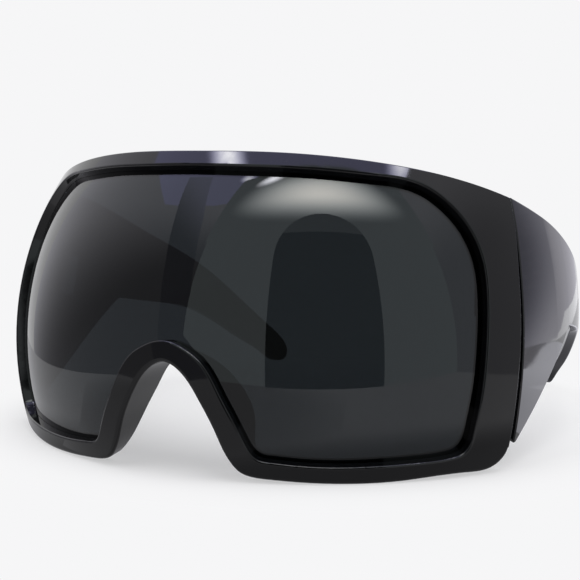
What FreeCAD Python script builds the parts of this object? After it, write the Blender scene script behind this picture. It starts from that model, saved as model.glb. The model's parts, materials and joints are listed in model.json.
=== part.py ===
import FreeCAD, Part
import math
import os

os.makedirs("parts", exist_ok=True)
V = FreeCAD.Vector

# Front: part of a sphere round the origin, seen from the front with +X to the right and +Z up
front_radius = 82.0
rim_depth = 5.5
rim_lip = 1.4
lens_thickness = 1.8
lens_bite = 1.0
lens_play = 0.05
edge_round = 0.4
opening_round = 0.5
foot_round = 0.9

# Outer edge of the front's right half, as distances along the dome from its foremost point:
# sideways, then upwards
top_edge = [(0, 55.8), (24.2, 55.4), (50.1, 53.1), (76.6, 48.0), (93.6, 42.6)]
seam_edge = [(93.6, 42.6), (92.0, 36.3), (89.4, 26.5), (87.6, 15.3), (86.3, 3.9), (85.3, -9.0), (85.0, -17.4)]
low_edge = [(85.0, -17.4), (84.2, -19.3), (82.7, -20.8), (80.6, -21.9), (78.1, -22.4), (73.5, -22.4), (56.0, -23.1),
            (40.2, -23.3), (29.8, -22.8), (23.4, -22.3), (19.1, -21.7), (16.9, -20.7), (15.4, -19.0)]
arch_edge = [(15.4, -19.0), (14.1, -16.7), (11.7, -10.4), (8.6, -4.1), (6.5, -0.6), (4.1, 2.1), (0, 4.0)]

# Edge of the lens opening's right half, clockwise from the top
opening_edge = [(0, 51.5), (18.5, 51.2), (35.5, 50.5), (53.1, 48.8), (61.5, 47.5), (66.8, 45.4), (71.2, 42.0),
                (74.8, 37.6), (77.2, 32.4), (78.2, 26.6), (77.9, 19.6), (76.6, 8.4), (74.9, -5.4), (74.0, -11.2),
                (73.2, -15.1), (71.8, -17.0), (69.2, -17.9), (61.0, -18.5), (44.5, -18.9), (32.8, -18.6),
                (25.0, -17.9), (22.6, -17.4), (21.1, -16.1), (19.6, -13.4), (17.1, -8.2), (14.2, -2.7), (11.5, 2.2),
                (8.6, 5.5), (5.0, 7.7), (2.4, 8.7)]
opening_foot = (0, 9.0)

# Wall of the arch: it widens to the back like lines from a point this far in front of the dome
arch_fan = 50.0

# Nose saddle behind the arch; its rear edge is given as depth behind the dome's foremost point, then height
saddle_wall = 2.0
saddle_rear = [(6.0, 10.4), (11.0, 5.6), (14.6, 0.6), (16.4, -5.0), (15.9, -9.4), (14.0, -13.4), (11.2, -18.2),
               (8.0, -22.4)]

# Temple: a bowed sheet that carries on from the seam, runs straight back and then bends inwards
temple_thickness = 2.6
temple_straight = 34.8
bend_radius = 184.0
temple_heel_round = 2.5
temple_toe_round = 1.2
temple_flare = math.radians(1.0)

# Side outline of the temple: distance behind the seam's foot, then height
temple_rear = [(-13.2, 46.3), (11.8, 40.6), (36.1, 34.2), (61.2, 25.2), (88.8, 12.5), (103.8, 1.1), (114.8, -9.3),
               (119.3, -14.6), (120.4, -18.1), (118.9, -21.3), (115.7, -22.0), (111.8, -19.0), (104.2, -13.4),
               (98.0, -9.1), (92.4, -5.4), (86.0, -2.0), (79.3, 0.4), (67.5, 2.8), (57.7, 4.5), (46.8, 6.3)]
temple_heel = [(46.8, 6.3), (31.8, -2.0), (16.8, -10.4), (-1.2, -19.5), (-13.2, -25.5)]

# Gap between the front and the temple, at the top and at the foot of the seam
seam_gap_top = 0.35
seam_gap_foot = 2.6

# Hinge: where its middle sits beside the seam, its barrels, screw and leaves
hinge_rise = 19.7
hinge_past = 1.55
barrel_radius = 2.0
barrel_count = 5
barrel_pitch = 2.2
barrel_gap = 0.1
screw_radius = 0.8
screw_play = 0.05
screw_head_radius = 1.6
screw_head_height = 0.8
slot_width = 0.4
slot_depth = 0.4
knuckle_clear = 0.3
leaf_thickness = 1.2
leaf_face = 1.9
leaf_length = 9.0

# Bosses that carry the leaves, and the screws that fix them
boss_height = 1.5
boss_bite = 1.0
boss_start = 1.5
boss_margin = 0.5
fixing_radius = 0.6
fixing_play = 0.1
fixing_head_radius = 1.15
fixing_head_height = 0.7
fixing_length = 3.5
fixing_reach = 5.4
fixing_spread = 3.2

# How far cutting shapes reach past what they cut, and how they are built
cut_margin = 2.0
touch = 0.01
knots_per_edge = 3
same_line = 0.5

lens_recess = rim_depth - rim_lip - lens_thickness
hinge_half = barrel_count * barrel_pitch / 2


def on_dome(point, depth=0):
    # Point of the dome, or the place that far below its face
    side = point[0] / front_radius
    rise = point[1] / front_radius
    outward = V(math.cos(rise) * math.sin(side), -math.cos(rise) * math.cos(side), math.sin(rise))
    return outward * (front_radius - depth)


def on_plane(point, distance):
    # Where the line from the dome's centre through a point of the dome meets an upright plane in front
    place = on_dome(point)
    return place * (-distance / place.y)


def behind_foot(point, distance):
    # The same for the foot's wall, which widens to the back in the middle and runs to the dome's centre at the seam
    place = on_dome(point)
    share = abs(point[0]) / seam_edge[-1][0]
    growth = (front_radius - distance) / arch_fan * (1 - share) ** 2
    fanned = V(place.x * (1 + growth), -distance, place.z)
    return fanned + (on_plane(point, distance) - fanned) * share


def mirrored(points):
    return [(-x, z) for x, z in reversed(points)]


def spline(points, closed=False, steps=None):
    curve = Part.BSplineCurve()
    if steps:
        curve.interpolate(Points=points, PeriodicFlag=closed, Parameters=steps)
    else:
        curve.interpolate(Points=points, PeriodicFlag=closed)
    return curve


def shifted(points, distance, closed=False):
    # Points moved across the outline, to the left of its direction, by a distance on the dome
    curve = spline([V(x, z, 0) for x, z in points], closed)
    result = []
    for x, z in points:
        shrink = math.cos(z / front_radius)
        tangent = curve.tangent(curve.parameter(V(x, z, 0)))[0]
        along = V(tangent.x * shrink, tangent.y, 0).normalize()
        result.append((x - distance * along.y / shrink, z + distance * along.x))
    return result


def pieces(curve):
    # The curve as a row of shorter edges
    knots = curve.getKnots()
    stops = knots[:-1:knots_per_edge] + knots[-1:]
    return [curve.toShape(low, high) for low, high in zip(stops, stops[1:])]


def lengths_along(points, closed):
    # Distances along an outline at its points
    ring = points + points[:1] if closed else points
    steps = [0]
    for start, end in zip(ring, ring[1:]):
        steps.append(steps[-1] + math.dist(start, end))
    return steps


def cone(runs, closed=False, foot=None):
    # Solid bounded by the lines from the dome's centre through an outline made of one or more smooth runs;
    # the wall of the foot's run goes its own way
    nearest = -on_dome(seam_edge[0], rim_depth).y
    rings = []
    for distance in (nearest - cut_margin, front_radius + cut_margin):
        edges = []
        for run in runs:
            project = behind_foot if run is foot else on_plane
            places = [project(point, distance) for point in run]
            edges += pieces(spline(places, closed, lengths_along(run, closed)))
        rings.append(edges)
    faces = [Part.makeRuledSurface(near, far) for near, far in zip(*rings)]
    faces += [Part.Face(Part.Wire(edges)) for edges in rings]
    shell = Part.makeShell(faces)
    shell.sewShape()
    return Part.makeSolid(shell)


def dome(radius):
    return Part.makeSphere(radius).rotate(V(), V(0, 0, 1), 90)


def dome_shell(outer, inner):
    return dome(outer).cut(dome(inner))


def opening_outline(growth):
    points = opening_edge + [opening_foot] + mirrored(opening_edge[1:])
    return shifted(points, growth, True)


def crown_run():
    return mirrored(top_edge[1:]) + top_edge


def foot_run():
    return low_edge + arch_edge[1:] + mirrored(low_edge + arch_edge[1:-1])


def front_cone(foot):
    return cone([crown_run(), seam_edge, foot, mirrored(seam_edge)], foot=foot)


def edges_along(shape, run, closed=False):
    # Edges of the front face that follow an outline
    curve = spline([on_dome(point) for point in run], closed)
    found = []
    for edge in shape.Edges:
        places = edge.discretize(5)
        off_dome = max(abs(place.Length - front_radius) for place in places)
        off_line = max(place.distanceToPoint(curve.value(curve.parameter(place))) for place in places)
        if off_dome < touch and off_line < same_line:
            found.append(edge)
    return found


def seam_side(rise):
    # Sideways place of the seam at a height
    for above, below in zip(seam_edge, seam_edge[1:]):
        if below[1] <= rise <= above[1]:
            share = (rise - below[1]) / (above[1] - below[1])
            return below[0] + (above[0] - below[0]) * share


class Bow:
    # Outer arc of the right temple's section where the bend starts: it passes through the seam's top,
    # middle and foot, seen along the straight part of the temple
    def __init__(self):
        self.along = V(math.sin(temple_flare), math.cos(temple_flare), 0)
        self.outward = V(self.along.y, -self.along.x, 0)
        self.seam_foot = on_dome(seam_edge[-1])
        marks = []
        for point in (seam_edge[0], seam_edge[len(seam_edge) // 2], seam_edge[-1]):
            place = on_dome(point)
            marks.append(place + self.along * ((self.seam_foot.y + temple_straight - place.y) / self.along.y))
        arc = Part.Arc(*marks).toShape().Curve
        self.centre = arc.Center
        self.radius = arc.Radius

    def place(self, radius, height):
        # Point of the section at a height, on the outer arc or one inside it
        rise = height - self.centre.z
        return self.centre + self.outward * math.sqrt(radius ** 2 - rise ** 2) + V(0, 0, rise)

    def depth(self, place):
        # How far a place lies inside the temple's outer face
        return self.radius - math.hypot((place - self.centre).dot(self.outward), place.z - self.centre.z)


class Hinge:
    # Axis of the right hinge, parallel to the seam's chord, and its two sets of directions: outward and
    # backward for the front's leaf and for the temple's leaf
    def __init__(self):
        self.axis = (on_dome(seam_edge[0]) - on_dome(seam_edge[-1])).normalize()
        self.middle = on_dome((seam_side(hinge_rise) + hinge_past, hinge_rise), rim_depth + boss_height + leaf_face)
        slope = V(0, 0, (self.middle.z - bow.centre.z) / bow.radius)
        self.frame_side = self.directions(self.middle)
        self.temple_side = self.directions(bow.outward + slope)

    def directions(self, outward):
        outward = (outward - self.axis * outward.dot(self.axis)).normalize()
        return outward, self.axis.cross(outward)

    def place(self, shape, side):
        # Moves a shape drawn with X outward, Y backward and Z along the axis to the hinge
        outward, backward = side
        matrix = FreeCAD.Matrix(outward.x, backward.x, self.axis.x, self.middle.x,
                                outward.y, backward.y, self.axis.y, self.middle.y,
                                outward.z, backward.z, self.axis.z, self.middle.z,
                                0, 0, 0, 1)
        moved = shape.copy()
        moved.transformShape(matrix)
        return moved


bow = Bow()
hinge = Hinge()


def barrel_span(index, gap):
    low = -hinge_half + index * barrel_pitch + gap
    return low, barrel_pitch - 2 * gap


def rod(radius, low, height):
    return Part.makeCylinder(radius, height, V(0, 0, low))


def fixing_places(sign):
    return [V(leaf_face - leaf_thickness, sign * fixing_reach, height) for height in (-fixing_spread, fixing_spread)]


def fixing_rods(sign, radius):
    rods = [Part.makeCylinder(radius, fixing_length, place, V(1, 0, 0)) for place in fixing_places(sign)]
    return Part.makeCompound(rods)


def leaf(sign, bores):
    # A plate with barrels; sign is -1 for the front's leaf and +1 for the temple's, whose barrels are
    # shorter by the running gap at each end
    gap = barrel_gap if sign > 0 else 0
    low = min(0, sign * leaf_length)
    corner = V(leaf_face - leaf_thickness, low, -hinge_half)
    solid = Part.makeBox(leaf_thickness, leaf_length, 2 * hinge_half, corner)
    for index in range(barrel_count):
        if index not in bores:
            solid = solid.cut(rod(barrel_radius + knuckle_clear, *barrel_span(index, -barrel_gap)))
    for index, bore in bores.items():
        solid = solid.fuse(rod(barrel_radius, *barrel_span(index, gap)))
        solid = solid.cut(rod(bore, *barrel_span(index, -barrel_gap)))
    return solid.cut(fixing_rods(sign, fixing_radius + fixing_play)).removeSplitter()


def boss(sign, height):
    # Block from the leaf's outer face into the wall that carries it, which is that height away
    reach = leaf_length + boss_margin
    low = min(sign * boss_start, sign * reach)
    half = hinge_half + boss_margin
    return Part.makeBox(height + boss_bite, reach - boss_start, 2 * half, V(leaf_face, low, -half))


def barrel_room():
    half = hinge_half + boss_margin + cut_margin
    return rod(barrel_radius + knuckle_clear, -half, 2 * half)


def make_front_frame(outline):
    groove_top = front_radius - lens_recess + lens_play
    groove_foot = front_radius - lens_recess - lens_thickness - lens_play
    groove = dome_shell(groove_top, groove_foot).common(cone([opening_outline(lens_bite + lens_play)], True))
    groove = groove.cut(cone([opening_outline(-lens_bite)], True))
    body = dome_shell(front_radius, front_radius - rim_depth).common(outline)
    body = body.makeFillet(foot_round, edges_along(body, foot_run()))
    for run in (crown_run(), seam_edge, mirrored(seam_edge)):
        body = body.makeFillet(edge_round, edges_along(body, run))
    body = body.cut(cone([opening_outline(0)], True))
    body = body.makeFillet(opening_round, edges_along(body, opening_outline(0), True)).cut(groove)
    pad = hinge.place(boss(-1, boss_height), hinge.frame_side).common(outline)
    for block in (pad, pad.mirror(V(), V(1, 0, 0))):
        body = body.fuse(block)
    holes = hinge.place(fixing_rods(-1, fixing_radius), hinge.frame_side)
    room = hinge.place(barrel_room(), hinge.frame_side)
    for tool in (holes, room):
        body = body.cut(tool).cut(tool.mirror(V(), V(1, 0, 0)))
    return body


def make_lens():
    outer = front_radius - lens_recess
    return dome_shell(outer, outer - lens_thickness).common(cone([opening_outline(lens_bite)], True))


def make_saddle(outline):
    # A wall round the arch that carries on flush from the rim's, cut to its rear edge and to the rim's inner face
    arch = shifted(arch_edge + mirrored(arch_edge[:-1]), -saddle_wall)
    start = [point for point in low_edge if point[0] > arch[0][0] + saddle_wall]
    core = front_cone(start + arch + mirrored(start))
    half = behind_foot(arch[0], front_radius - max(depth for depth, height in saddle_rear)).x + cut_margin
    rear = [V(-half, depth - front_radius, height) for depth, height in saddle_rear]
    corners = [rear[-1], V(-half, -front_radius, rear[-1].z), V(-half, -front_radius, rear[0].z), rear[0]]
    edges = [Part.makeLine(start, end) for start, end in zip(corners, corners[1:])]
    profile = Part.Face(Part.Wire([spline(rear).toShape()] + edges))
    body = outline.common(profile.extrude(V(2 * half, 0, 0))).common(dome(front_radius - rim_depth))
    return body.cut(core)


def side_place(point):
    return V(0, bow.seam_foot.y + point[0], point[1])


def temple_sheet():
    # Bowed sheet along a straight line and then round the bend
    heights = [height for back, height in temple_rear + temple_heel]
    low = min(heights) - cut_margin
    high = max(heights) + cut_margin
    arcs = []
    for radius in (bow.radius, bow.radius - temple_thickness):
        arcs.append(Part.Arc(*[bow.place(radius, height) for height in (low, (low + high) / 2, high)]).toShape())
    outer, inner = arcs
    ends = [Part.makeLine(outer.lastVertex().Point, inner.lastVertex().Point),
            Part.makeLine(inner.firstVertex().Point, outer.firstVertex().Point)]
    section = Part.Face(Part.Wire([outer, ends[0], inner, ends[1]]))
    straight = section.extrude(bow.along * (temple_rear[0][0] - temple_straight - cut_margin))
    bend_axis = bow.centre + bow.outward * (bow.radius - bend_radius)
    quarter_turn = 90
    bent = section.revolve(bend_axis, V(0, 0, 1), quarter_turn)
    return straight.fuse(bent).removeSplitter()


def temple_prism():
    rear = pieces(spline([side_place(point) for point in temple_rear]))
    heel = pieces(spline([side_place(point) for point in temple_heel]))
    front = Part.makeLine(heel[-1].lastVertex().Point, rear[0].firstVertex().Point)
    return Part.Face(Part.Wire(rear + heel + [front])).extrude(V(front_radius + cut_margin, 0, 0))


def carried_on(start, end):
    # A point that carries a line on past its end by the line's own length
    return 2 * end[0] - start[0], 2 * end[1] - start[1]


def seam_cutter():
    # Everything in front of the temple's end face
    top = seam_edge[0][1]
    foot = seam_edge[-1][1]
    moved = []
    for side, rise in seam_edge:
        share = (top - rise) / (top - foot)
        moved.append((side + seam_gap_top + (seam_gap_foot - seam_gap_top) * share, rise))
    moved = [carried_on(moved[1], moved[0])] + moved + [carried_on(moved[-2], moved[-1])]
    corners = [(0, moved[-1][1]), (0, moved[0][1])]
    return cone([moved, [moved[-1], corners[0]], corners, [corners[1], moved[0]]])


def corner_edge(shape, place):
    # The edge through the sheet's thickness nearest to a place, seen from the side
    short = [edge for edge in shape.Edges if edge.Length < 2 * temple_thickness]
    return min(short, key=lambda edge: math.hypot(edge.CenterOfMass.y - place.y, edge.CenterOfMass.z - place.z))


def make_temple():
    body = temple_sheet().common(temple_prism())
    body = body.makeFillet(temple_heel_round, [corner_edge(body, side_place(temple_heel[0]))])
    body = body.cut(seam_cutter())
    toe = min(body.Vertexes, key=lambda vertex: vertex.Z + vertex.Y).Point
    body = body.makeFillet(temple_toe_round, [corner_edge(body, toe)])
    body = body.makeFillet(edge_round, body.Edges)
    height = bow.depth(hinge.middle) - temple_thickness - leaf_face
    body = body.fuse(hinge.place(boss(1, height), hinge.temple_side))
    body = body.cut(hinge.place(fixing_rods(1, fixing_radius), hinge.temple_side))
    return body.cut(hinge.place(barrel_room(), hinge.temple_side))


def make_hinge_screw():
    body = rod(screw_radius, -hinge_half, 2 * hinge_half).fuse(rod(screw_head_radius, hinge_half, screw_head_height))
    corner = V(-screw_head_radius, -slot_width / 2, hinge_half + screw_head_height - slot_depth)
    return body.cut(Part.makeBox(2 * screw_head_radius, slot_width, slot_depth, corner)).removeSplitter()


def make_fixings(sign):
    screws = []
    for place in fixing_places(sign):
        body = Part.makeCylinder(fixing_radius, fixing_length, place, V(1, 0, 0))
        body = body.fuse(Part.makeCylinder(fixing_head_radius, fixing_head_height, place, V(-1, 0, 0)))
        corner = place + V(-fixing_head_height, -fixing_head_radius, -slot_width / 2)
        slot = Part.makeBox(slot_depth, 2 * fixing_head_radius, slot_width, corner)
        screws.append(body.cut(slot).removeSplitter())
    return Part.makeCompound(screws)


def main():
    outline = front_cone(foot_run())
    loose = screw_radius + screw_play
    nodes = {"front_frame": make_front_frame(outline), "shield_lens": make_lens(), "nose_saddle": make_saddle(outline)}
    pairs = {
        "temple": make_temple(),
        "frame_hinge": hinge.place(leaf(-1, {0: screw_radius, 2: loose, 4: loose}), hinge.frame_side),
        "temple_hinge": hinge.place(leaf(1, {1: loose, 3: loose}), hinge.temple_side),
        "hinge_screw": hinge.place(make_hinge_screw(), hinge.frame_side),
        "frame_hinge_screws": hinge.place(make_fixings(-1), hinge.frame_side),
        "temple_hinge_screws": hinge.place(make_fixings(1), hinge.temple_side),
    }
    for name, shape in pairs.items():
        nodes["right_" + name] = shape
        nodes["left_" + name] = shape.mirror(V(), V(1, 0, 0))
    box = Part.makeCompound(list(nodes.values())).optimalBoundingBox(False, False)
    shift = V(0, -(box.YMin + box.YMax) / 2, -box.ZMin)
    for name, shape in nodes.items():
        shape.translate(shift)
        shape.exportStep("parts/" + name + ".step")
        print(name, shape.isValid(), len(shape.Solids), round(shape.Volume, 1), "mm3")
    print("box", box, "shift", shift)
    print("axis", hinge.middle + shift, hinge.axis)


main()
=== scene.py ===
import bmesh
import bpy
import json
import math
from mathutils import Matrix, Vector

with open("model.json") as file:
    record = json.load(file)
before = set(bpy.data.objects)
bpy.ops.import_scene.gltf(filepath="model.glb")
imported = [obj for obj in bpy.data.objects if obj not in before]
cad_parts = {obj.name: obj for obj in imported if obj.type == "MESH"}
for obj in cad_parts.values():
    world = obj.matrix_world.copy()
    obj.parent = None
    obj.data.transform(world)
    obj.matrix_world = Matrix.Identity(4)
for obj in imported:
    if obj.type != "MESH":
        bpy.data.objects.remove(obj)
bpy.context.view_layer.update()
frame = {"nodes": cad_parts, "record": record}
nodes = frame["nodes"]
scene = bpy.context.scene
millimetre = 0.001
print("frame loaded:", len(nodes), "nodes")


def toLinear(hexColour):
    # sRGB hex to the linear colour that shaders take
    channels = []
    for start in (1, 3, 5):
        value = int(hexColour[start:start + 2], 16) / 255
        channels.append(value / 12.92 if value <= 0.04045 else ((value + 0.055) / 1.055) ** 2.4)
    return (*channels, 1.0)


def perMetre(sizeMm):
    # texture scale for a pattern whose features are that many millimetres wide
    return 1 / (sizeMm * millimetre)


def addNode(tree, kind, inputs, **settings):
    # inputs are other nodes' outputs, which are linked, or plain values
    node = tree.nodes.new(kind)
    for name, value in settings.items():
        setattr(node, name, value)
    for name, value in inputs.items():
        socket = node.inputs[name]
        if isinstance(value, bpy.types.NodeSocket):
            tree.links.new(value, socket)
        else:
            socket.default_value = value
    return node


def newMaterial(name):
    material = bpy.data.materials.new(name)
    material.use_nodes = True
    material.node_tree.nodes.clear()
    return material, material.node_tree


# Polished black acetate, tumbled to a gloss: deep black with a faint cloud in it, a soft ripple left by
# polishing, hairline rubs that only change the roughness, and a few specks of dust
rimLook = {"name": "polishedBlackAcetate", "ior": 1.49, "deep": "#040405", "cloud": "#08080a", "cloudMm": 11.0,
           "gloss": 0.05, "rub": 0.06, "rubMm": 1.3, "rubStretch": 7.0, "rubFrom": 0.45, "rubTo": 0.8,
           "rippleMm": 3.2, "rippleDepthMm": 0.0012,
           "dust": "#8d8f94", "dustMm": 3.4, "dustSize": 0.035, "dustCore": 0.4, "dustAbove": 0.93}
templeLook = {**rimLook, "name": "polishedBlackAcetateTemple", "cloudMm": 14.0, "rubMm": 1.7,
              "rubStretch": 10.0}
saddleLook = {**rimLook, "name": "polishedBlackAcetateSaddle", "gloss": 0.09, "rub": 0.05, "cloudMm": 7.0}


def blackAcetate(look):
    material, tree = newMaterial(look["name"])
    place = addNode(tree, "ShaderNodeTexCoord", {}).outputs["Object"]
    cloud = addNode(tree, "ShaderNodeTexNoise", {
        "Vector": place, "Scale": perMetre(look["cloudMm"]), "Detail": 3.0})
    drawn = addNode(tree, "ShaderNodeMapping", {"Vector": place, "Scale": (1.0, 1 / look["rubStretch"], 1.0)})
    rub = addNode(tree, "ShaderNodeTexNoise", {
        "Vector": drawn.outputs["Vector"], "Scale": perMetre(look["rubMm"]), "Detail": 6.0, "Roughness": 0.65})
    # specks sit in the middle of a few of the cells, which their random colour picks out
    cells = addNode(tree, "ShaderNodeTexVoronoi", {"Vector": place, "Scale": perMetre(look["dustMm"])})
    speck = addNode(tree, "ShaderNodeMapRange", {
        "Value": cells.outputs["Distance"], "From Min": look["dustSize"],
        "From Max": look["dustSize"] * look["dustCore"], "To Min": 0.0, "To Max": 1.0})
    chosen = addNode(tree, "ShaderNodeSeparateColor", {"Color": cells.outputs["Color"]})
    sparse = addNode(tree, "ShaderNodeMath", {0: chosen.outputs["Red"], 1: look["dustAbove"]},
                     operation="GREATER_THAN")
    dust = addNode(tree, "ShaderNodeMath", {0: speck.outputs["Result"], 1: sparse.outputs[0]},
                   operation="MULTIPLY")
    body = addNode(tree, "ShaderNodeMix", {
        "Factor": cloud.outputs["Fac"], "A": toLinear(look["deep"]), "B": toLinear(look["cloud"])},
        data_type="RGBA")
    colour = addNode(tree, "ShaderNodeMix", {
        "Factor": dust.outputs[0], "A": body.outputs["Result"], "B": toLinear(look["dust"])}, data_type="RGBA")
    rough = addNode(tree, "ShaderNodeMapRange", {
        "Value": rub.outputs["Fac"], "From Min": look["rubFrom"], "From Max": look["rubTo"],
        "To Min": look["gloss"], "To Max": look["gloss"] + look["rub"]})
    ripple = addNode(tree, "ShaderNodeTexNoise", {
        "Vector": place, "Scale": perMetre(look["rippleMm"]), "Detail": 1.0})
    relief = addNode(tree, "ShaderNodeBump", {
        "Height": ripple.outputs["Fac"], "Strength": 1.0, "Distance": look["rippleDepthMm"] * millimetre})
    surface = addNode(tree, "ShaderNodeBsdfPrincipled", {
        "Base Color": colour.outputs["Result"], "Roughness": rough.outputs["Result"], "IOR": look["ior"],
        "Normal": relief.outputs["Normal"]})
    addNode(tree, "ShaderNodeOutputMaterial", {"Surface": surface.outputs["BSDF"]})
    return material


# Smoke polycarbonate, injection moulded and hard coated: a neutral grey tint a little towards blue-green,
# very smooth, with faint wiping marks in the coat
lensLook = {"name": "smokePolycarbonate", "ior": 1.5, "tint": "#1c2023", "tintCloud": "#1a1e21",
            "cloudMm": 24.0, "gloss": 0.012, "wipe": 0.02, "wipeMm": 2.6, "wipeStretch": 9.0,
            "wipeFrom": 0.5, "wipeTo": 0.8}


def smokeLens(look):
    material, tree = newMaterial(look["name"])
    place = addNode(tree, "ShaderNodeTexCoord", {}).outputs["Object"]
    cloud = addNode(tree, "ShaderNodeTexNoise", {
        "Vector": place, "Scale": perMetre(look["cloudMm"]), "Detail": 2.0})
    colour = addNode(tree, "ShaderNodeMix", {
        "Factor": cloud.outputs["Fac"], "A": toLinear(look["tint"]), "B": toLinear(look["tintCloud"])},
        data_type="RGBA")
    drawn = addNode(tree, "ShaderNodeMapping", {"Vector": place, "Scale": (1 / look["wipeStretch"], 1.0, 1.0)})
    wipe = addNode(tree, "ShaderNodeTexNoise", {
        "Vector": drawn.outputs["Vector"], "Scale": perMetre(look["wipeMm"]), "Detail": 5.0})
    rough = addNode(tree, "ShaderNodeMapRange", {
        "Value": wipe.outputs["Fac"], "From Min": look["wipeFrom"], "From Max": look["wipeTo"],
        "To Min": look["gloss"], "To Max": look["gloss"] + look["wipe"]})
    surface = addNode(tree, "ShaderNodeBsdfPrincipled", {
        "Base Color": colour.outputs["Result"], "Roughness": rough.outputs["Result"], "IOR": look["ior"],
        "Transmission Weight": 1.0})
    addNode(tree, "ShaderNodeOutputMaterial", {"Surface": surface.outputs["BSDF"]})
    return material


# Stainless steel: stamped hinge leaves with a brushed grain, and turned screws with a finer one
hingeLook = {"name": "brushedStainless", "bright": "#b9babd", "dull": "#8f9094", "grainMm": 0.22,
             "stretch": 14.0, "gloss": 0.24, "grain": 0.16, "grainFrom": 0.3, "grainTo": 0.7}
screwLook = {**hingeLook, "name": "turnedStainless", "bright": "#c6c7ca", "grainMm": 0.14, "stretch": 4.0,
             "gloss": 0.2}


def brushedSteel(look):
    material, tree = newMaterial(look["name"])
    place = addNode(tree, "ShaderNodeTexCoord", {}).outputs["Object"]
    drawn = addNode(tree, "ShaderNodeMapping", {"Vector": place, "Scale": (1.0, 1.0, 1 / look["stretch"])})
    grain = addNode(tree, "ShaderNodeTexNoise", {
        "Vector": drawn.outputs["Vector"], "Scale": perMetre(look["grainMm"]), "Detail": 4.0})
    colour = addNode(tree, "ShaderNodeMix", {
        "Factor": grain.outputs["Fac"], "A": toLinear(look["bright"]), "B": toLinear(look["dull"])},
        data_type="RGBA")
    rough = addNode(tree, "ShaderNodeMapRange", {
        "Value": grain.outputs["Fac"], "From Min": look["grainFrom"], "From Max": look["grainTo"],
        "To Min": look["gloss"], "To Max": look["gloss"] + look["grain"]})
    surface = addNode(tree, "ShaderNodeBsdfPrincipled", {
        "Base Color": colour.outputs["Result"], "Roughness": rough.outputs["Result"], "Metallic": 1.0})
    addNode(tree, "ShaderNodeOutputMaterial", {"Surface": surface.outputs["BSDF"]})
    return material


finishes = {"rim_black": blackAcetate(rimLook), "temple_black": blackAcetate(templeLook),
            "saddle_black": blackAcetate(saddleLook), "lens_smoke": smokeLens(lensLook),
            "hinge_steel": brushedSteel(hingeLook), "screw_steel": brushedSteel(screwLook)}
for part in frame["record"]["subparts"]:
    for materialSlot in nodes[part["node"]].material_slots:
        materialSlot.material = finishes[part["material_slot"]]
print("finishes assigned:", len(finishes))


# Camera, where the photograph was taken from; the photograph is square
cameraSet = {"azimuthDeg": 25.45, "elevationDeg": 6.12, "rollDeg": 0.21, "distance": 0.35585,
             "aim": (-0.0052, -0.00275, 0.03548), "focalMm": 78.52, "sensorMm": 36.0, "clipStart": 0.01}


def placeCamera(look):
    azimuth = math.radians(look["azimuthDeg"])
    elevation = math.radians(look["elevationDeg"])
    back = Vector((math.sin(azimuth) * math.cos(elevation), -math.cos(azimuth) * math.cos(elevation),
                   math.sin(elevation)))
    camera = bpy.data.cameras.new("camera")
    camera.lens = look["focalMm"]
    camera.sensor_width = look["sensorMm"]
    camera.clip_start = look["clipStart"]
    holder = bpy.data.objects.new("camera", camera)
    roll = Matrix.Rotation(math.radians(look["rollDeg"]), 4, "Z")
    turn = back.to_track_quat("Z", "Y").to_matrix().to_4x4() @ roll
    holder.matrix_world = Matrix.Translation(Vector(look["aim"]) + back * look["distance"]) @ turn
    scene.collection.objects.link(holder)
    scene.camera = holder


placeCamera(cameraSet)
print("camera placed")


# Studio: a pale table and white surroundings. The cloth walls of a small light tent are cards that only show
# as reflections; the camera looks in through an arched door in the front wall
backdropColour = "#f6f6f7"
floorLook = {"name": "paleTable", "colour": "#f7f7f8", "shade": "#f3f3f5", "size": 6.0, "mottleMm": 40.0,
             "roughness": 0.9, "specular": 0.2, "fadeFrom": 0.06, "fadeTo": 0.1, "veil": 0.3}


def tentPlace(side, front, height):
    # place in the tent, from the object's origin: to the camera's right, towards the camera, up
    azimuth = math.radians(cameraSet["azimuthDeg"])
    across = Vector((math.cos(azimuth), math.sin(azimuth), 0))
    towards = Vector((math.sin(azimuth), -math.cos(azimuth), 0))
    return across * side + towards * front + Vector((0, 0, height))


def addMesh(name, bm, material):
    mesh = bpy.data.meshes.new(name)
    bm.to_mesh(mesh)
    bm.free()
    mesh.materials.append(material)
    thing = bpy.data.objects.new(name, mesh)
    scene.collection.objects.link(thing)
    return thing


def makeFloor(look):
    # white table in a haze of stray light: it runs out into the backdrop's colour, so that no horizon shows
    material, tree = newMaterial(look["name"])
    place = addNode(tree, "ShaderNodeTexCoord", {}).outputs["Object"]
    mottle = addNode(tree, "ShaderNodeTexNoise", {
        "Vector": place, "Scale": perMetre(look["mottleMm"]), "Detail": 4.0})
    colour = addNode(tree, "ShaderNodeMix", {
        "Factor": mottle.outputs["Fac"], "A": toLinear(look["colour"]), "B": toLinear(look["shade"])},
        data_type="RGBA")
    surface = addNode(tree, "ShaderNodeBsdfPrincipled", {
        "Base Color": colour.outputs["Result"], "Roughness": look["roughness"],
        "Specular IOR Level": look["specular"]})
    away = addNode(tree, "ShaderNodeVectorMath", {0: place}, operation="LENGTH")
    fade = addNode(tree, "ShaderNodeMapRange", {
        "Value": away.outputs["Value"], "From Min": look["fadeFrom"], "From Max": look["fadeTo"],
        "To Min": look["veil"]}, interpolation_type="SMOOTHSTEP")
    beyond = addNode(tree, "ShaderNodeEmission", {"Color": toLinear(backdropColour), "Strength": 1.0})
    both = addNode(tree, "ShaderNodeMixShader", {
        0: fade.outputs["Result"], 1: surface.outputs["BSDF"], 2: beyond.outputs["Emission"]})
    addNode(tree, "ShaderNodeOutputMaterial", {"Surface": both.outputs["Shader"]})
    bm = bmesh.new()
    bmesh.ops.create_grid(bm, x_segments=1, y_segments=1, size=look["size"] / 2)
    addMesh("floor", bm, material)


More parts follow.
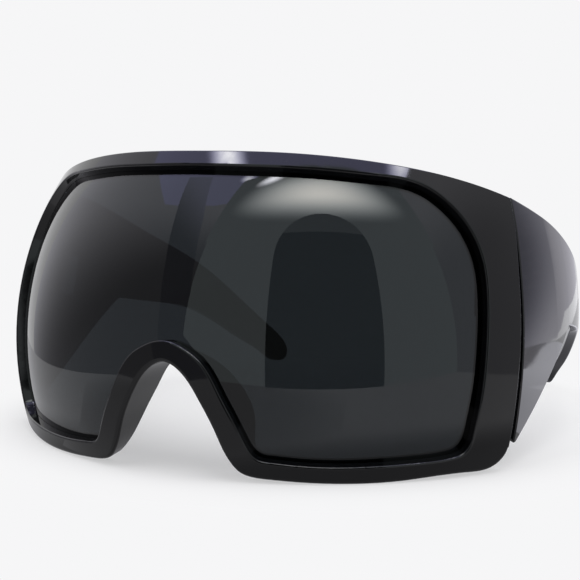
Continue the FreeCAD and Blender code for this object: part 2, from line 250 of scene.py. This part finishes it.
def cloth(name, look):
    # lit cloth: one brightness, or a change from the edge's to the middle's across the card; a sheer one adds
    # its light to what is behind it
    material, tree = newMaterial(name)
    colour, glow = toLinear(look["colour"]), look["glow"]
    if "edgeGlow" in look:
        uv = addNode(tree, "ShaderNodeUVMap", {}, uv_map="card")
        fall = addNode(tree, "ShaderNodeTexGradient", {"Vector": uv.outputs["UV"]}, gradient_type=look["fall"])
        share = addNode(tree, "ShaderNodeMapRange", {
            "Value": fall.outputs["Fac"], "From Max": look.get("reach", 1.0)}, interpolation_type="SMOOTHSTEP")
        middle = share.outputs["Result"]
        glow = addNode(tree, "ShaderNodeMapRange", {
            "Value": middle, "To Min": look["edgeGlow"], "To Max": look["glow"]}).outputs["Result"]
        edgeColour = toLinear(look.get("edgeColour", look["colour"]))
        colour = addNode(tree, "ShaderNodeMix", {"Factor": middle, "A": edgeColour, "B": colour},
                         data_type="RGBA").outputs["Result"]
    surface = addNode(tree, "ShaderNodeEmission", {"Color": colour, "Strength": glow}).outputs["Emission"]
    if look.get("sheer"):
        through = addNode(tree, "ShaderNodeBsdfTransparent", {})
        both = addNode(tree, "ShaderNodeAddShader", {0: surface, 1: through.outputs["BSDF"]})
        surface = both.outputs["Shader"]
    addNode(tree, "ShaderNodeOutputMaterial", {"Surface": surface})
    return material


def addCard(name, look):
    # flat card that shows only as a reflection; a change of brightness runs along look["axes"], from and over
    # the lengths given
    corners = look["corners"]
    bm = bmesh.new()
    bm.faces.new([bm.verts.new(tentPlace(*corner)) for corner in corners])
    card = addMesh(name, bm, cloth(name + "Cloth", look))
    if "edgeGlow" in look:
        layer = card.data.uv_layers.new(name="card")
        runs = list(zip(look["axes"], look["from"], look["over"]))
        for loop, corner in zip(layer.data, corners):
            loop.uv = [(Vector(axis).dot(Vector(corner)) - begin) / length for axis, begin, length in runs]
    card.visible_camera = False
    card.visible_diffuse = False
    card.visible_transmission = False
    card.visible_shadow = False


def facing(front, outline):
    # card across the tent, from its places to the side and its heights
    return [(side, front, height) for side, height in outline]


def beside(side, outline):
    # card along the tent, from its places to the front and its heights
    return [(side, front, height) for front, height in outline]


def lying(height, outline):
    # level card, from its places to the side and to the front
    return [(side, front, height) for side, front in outline]


def oblong(begin, end, low, high):
    return [(begin, low), (end, low), (end, high), (begin, high)]


def archedTop(look, cut):
    # half an ellipse that stands on look["low"], from the height cut above that upwards
    middle = (look["left"] + look["right"]) / 2
    half = (look["right"] - look["left"]) / 2
    begin = math.asin(cut / look["rise"])
    angles = [begin + (math.pi - 2 * begin) * step / look["steps"] for step in range(look["steps"] + 1)]
    return [(middle + half * math.cos(angle), look["low"] + look["rise"] * math.sin(angle)) for angle in angles]


toSide, toFront, upwards = (1, 0, 0), (0, 1, 0), (0, 0, 1)
doorShape = {"left": -0.045, "right": 0.064, "low": 0.135, "rise": 0.073, "steps": 24, "archCut": 0.034}
doorFoot = [(doorShape["left"], 0), (doorShape["right"], 0)]
lampPanel = {"colour": "#fffdf6", "edgeColour": "#eef8fa", "glow": 10.8, "edgeGlow": 0.7,
             "fall": "SPHERICAL", "axes": (toSide, upwards), "from": (0.008, 0.272)}
roofLamp = {"colour": "#f6f6ff", "edgeColour": "#d3d3ff", "edgeGlow": 1.6,
            "fall": "SPHERICAL", "axes": (toSide, toFront)}
tentCards = {
    # front wall with the door, and the lamp that shines through it above the door
    "frontWall": {"corners": facing(0.185, oblong(-0.166, 0.3, 0, 0.43)), "colour": "#eef8fa", "glow": 0.7},
    "door": {"corners": facing(0.18, doorFoot + archedTop(doorShape, 0)), "colour": "#eef6f6", "glow": 0.08},
    "doorArch": {"corners": facing(0.1795, archedTop(doorShape, doorShape["archCut"])),
                 "colour": "#f0f8fa", "glow": 0.32},
    "lampPanelTop": {"corners": facing(0.181, oblong(-0.166, 0.186, 0.272, 0.43)), **lampPanel,
                     "over": (0.157, 0.15)},
    "lampPanelFoot": {"corners": facing(0.181, oblong(-0.166, 0.186, 0.187, 0.272)), **lampPanel,
                      "over": (0.157, 0.085)},
    # right wall: paler upwards, and paler to the rear
    "rightWall": {"corners": beside(0.186, oblong(0.0, 0.186, 0, 0.365)),
                  "colour": "#f8f8ff", "glow": 0.87, "edgeGlow": 0.49,
                  "fall": "LINEAR", "axes": (upwards, toFront), "from": (0.13, 0.0), "over": (0.15, 1.0)},
    "rightWallRear": {"corners": beside(0.186, oblong(-0.3, 0.0, 0, 0.365)),
                      "colour": "#f2f0fb", "edgeColour": "#e9e9ff", "glow": 0.82, "edgeGlow": 0.21,
                      "fall": "LINEAR", "axes": ((0, -1, -0.33), upwards), "from": (0.069, 0.0),
                      "over": (0.033, 1.0)},
    # left wall with a drooping upper edge, and the dark corner post in front of it
    "leftWall": {"corners": beside(-0.165, [
        (-0.08, 0), (0.2, 0), (0.2, 0.327), (0.155, 0.258), (0.096, 0.195), (0.074, 0.178), (0.045, 0.19),
        (0.02, 0.2), (0.004, 0.215), (0.0, 0.43), (-0.08, 0.43)]),
        "colour": "#f8f7ff", "glow": 0.95, "edgeGlow": 0.27,
        "fall": "LINEAR", "axes": ((0, -0.8, 1), upwards), "from": (0.0, 0.0), "over": (0.135, 1.0)},
    "post": {"corners": beside(-0.164, [
        (0.148, 0), (0.198, 0), (0.193, 0.042), (0.188, 0.094), (0.174, 0.15), (0.151, 0.214), (0.102, 0.294),
        (0.068, 0.242), (0.104, 0.173), (0.125, 0.123), (0.137, 0.078), (0.143, 0.031)]),
        "colour": "#dcdcff", "edgeColour": "#f0f0ff", "glow": 1.1, "edgeGlow": 0.19,
        "fall": "LINEAR", "axes": (upwards, toFront), "from": (0.15, 0.0), "over": (0.12, 1.0)},
    "postFoot": {"corners": facing(0.184, [
        (-0.166, 0), (-0.105, 0), (-0.12, 0.018), (-0.14, 0.034), (-0.166, 0.05)]),
        "colour": "#f0f0ff", "glow": 0.19},
    "rearWall": {"corners": facing(-0.3, oblong(-0.1, 0.3, 0, 0.43)), "colour": "#f6f6fa", "glow": 0.95},
    # roof and its lamps
    "roof": {"corners": lying(0.43, oblong(-0.8, 0.3, -0.3, 0.4)), "colour": "#d3d3ff", "glow": 1.6},
    "roofLampLeft": {"corners": lying(0.419, [
        (-0.255, 0.061), (-0.208, 0.024), (-0.104, 0.157), (-0.151, 0.194)]),
        **roofLamp, "colour": "#fafaff", "glow": 18.0, "axes": ((0.614, 0.789, 0), (-0.789, 0.614, 0)),
        "from": (-0.0287, 0.2087), "over": (0.08, 0.026)},
    "roofLampMid": {"corners": lying(0.418, oblong(-0.19, -0.126, 0.155, 0.185)), **roofLamp, "glow": 9.0,
                    "from": (-0.156, 0.177), "over": (0.026, 0.016)},
    "frontLamp": {"corners": facing(0.179, oblong(-0.13, -0.03, 0.32, 0.425)), "colour": "#f6f6ff",
                  "glow": 16.0, "edgeGlow": 0.0, "sheer": True,
                  "fall": "SPHERICAL", "axes": ((0.56, 0, 0.83), (0.83, 0, -0.56)),
                  "from": (0.2609, -0.2789), "over": (0.05, 0.03)},
    "roofLampRight": {"corners": lying(0.419, oblong(0.14, 0.246, 0.09, 0.2)), **roofLamp, "glow": 14.0,
                      "from": (0.193, 0.144), "over": (0.046, 0.04)},
    # table: darker under the object, where the object's shadow is painted into the card, and at the front left,
    # paler at the right
    "table": {"corners": lying(0.0001, oblong(-0.166, 0.3, -0.3, 0.186)),
              "colour": "#fbfbff", "glow": 0.3, "edgeGlow": 0.72, "fall": "SPHERICAL", "reach": 0.2,
              "axes": (toSide, toFront), "from": (0.01, 0.0), "over": (0.103, 0.103)},
    "tableFront": {"corners": lying(0.0002, [
        (-0.165, 0.046), (-0.065, 0.046), (-0.043, 0.07), (-0.018, 0.088), (0.01, 0.1), (0.03, 0.184),
        (-0.165, 0.184)]),
        "colour": "#fbfbff", "glow": 0.44, "edgeGlow": 0.72, "fall": "SPHERICAL", "reach": 0.5,
        "axes": (toSide, toFront), "from": (-0.075, 0.125), "over": (0.11, 0.11)},
    "tableRight": {"corners": lying(0.0002, oblong(0.045, 0.3, -0.1, 0.04)),
                   "colour": "#f6f6ff", "glow": 1.1, "edgeGlow": 0.72,
                   "fall": "LINEAR", "axes": ((0, -1, 0), toSide), "from": (-0.04, 0.0), "over": (0.09, 1.0)},
    # painted shadow of the temple on the table: a darker patch in the table's reflection
    "tableShade": {"corners": lying(0.0003, oblong(0.045, 0.105, -0.085, -0.005)),
                   "colour": "#f6f6ff", "glow": 0.4, "edgeGlow": 1.05, "fall": "SPHERICAL",
                   "axes": (toSide, toFront), "from": (0.075, -0.045), "over": (0.03, 0.04)},
    # where the right wall meets the table, at a slant
    "tableCorner": {"corners": lying(0.0004, [
        (0.186, -0.101), (0.171, -0.08), (0.143, -0.046), (0.134, -0.033), (0.186, -0.033)]),
        "colour": "#f2f0fb", "glow": 0.37},
    "wallFoot": {"corners": beside(0.1855, [
        (-0.101, 0), (-0.135, 0.014), (-0.19, 0.013), (-0.3, 0.013), (-0.3, 0)]),
        "colour": "#f6f6fa", "glow": 1.3},
}
softLamp = {"name": "roofLamp", "place": (0.03, 0.1, 0.7), "aim": (0, 0, 0.03), "size": (0.6, 0.6),
            "watts": 3.2}
surround = {"name": "whiteSurround", "seenStrength": 1.0, "lightStrength": 0.5}


def addAreaLamp(look):
    lamp = bpy.data.lights.new(look["name"], "AREA")
    lamp.shape = "RECTANGLE"
    lamp.size, lamp.size_y = look["size"]
    lamp.energy = look["watts"]
    holder = bpy.data.objects.new(look["name"], lamp)
    holder.location = tentPlace(*look["place"])
    aim = tentPlace(*look["aim"])
    holder.rotation_euler = (aim - holder.location).to_track_quat("-Z", "Y").to_euler()
    holder.visible_glossy = False
    scene.collection.objects.link(holder)


def makeWorld(look):
    # white where it is looked at, reflected or seen through the lens, and weaker as a light
    world = bpy.data.worlds.new(look["name"])
    world.use_nodes = True
    tree = world.node_tree
    tree.nodes.clear()
    path = addNode(tree, "ShaderNodeLightPath", {}).outputs
    looked = addNode(tree, "ShaderNodeMath", {0: path["Is Camera Ray"], 1: path["Is Glossy Ray"]},
                     operation="ADD")
    seen = addNode(tree, "ShaderNodeMath", {0: looked.outputs[0], 1: path["Is Transmission Ray"]},
                   operation="ADD", use_clamp=True)
    power = addNode(tree, "ShaderNodeMapRange", {
        "Value": seen.outputs[0], "To Min": look["lightStrength"], "To Max": look["seenStrength"]})
    backdrop = addNode(tree, "ShaderNodeBackground", {
        "Color": toLinear(backdropColour), "Strength": power.outputs["Result"]})
    addNode(tree, "ShaderNodeOutputWorld", {"Surface": backdrop.outputs["Background"]})
    scene.world = world


makeFloor(floorLook)
for cardName, cardLook in tentCards.items():
    addCard(cardName, cardLook)
makeWorld(surround)
addAreaLamp(softLamp)
scene.view_settings.view_transform = "Standard"
print("studio lit:", len(tentCards), "cards")
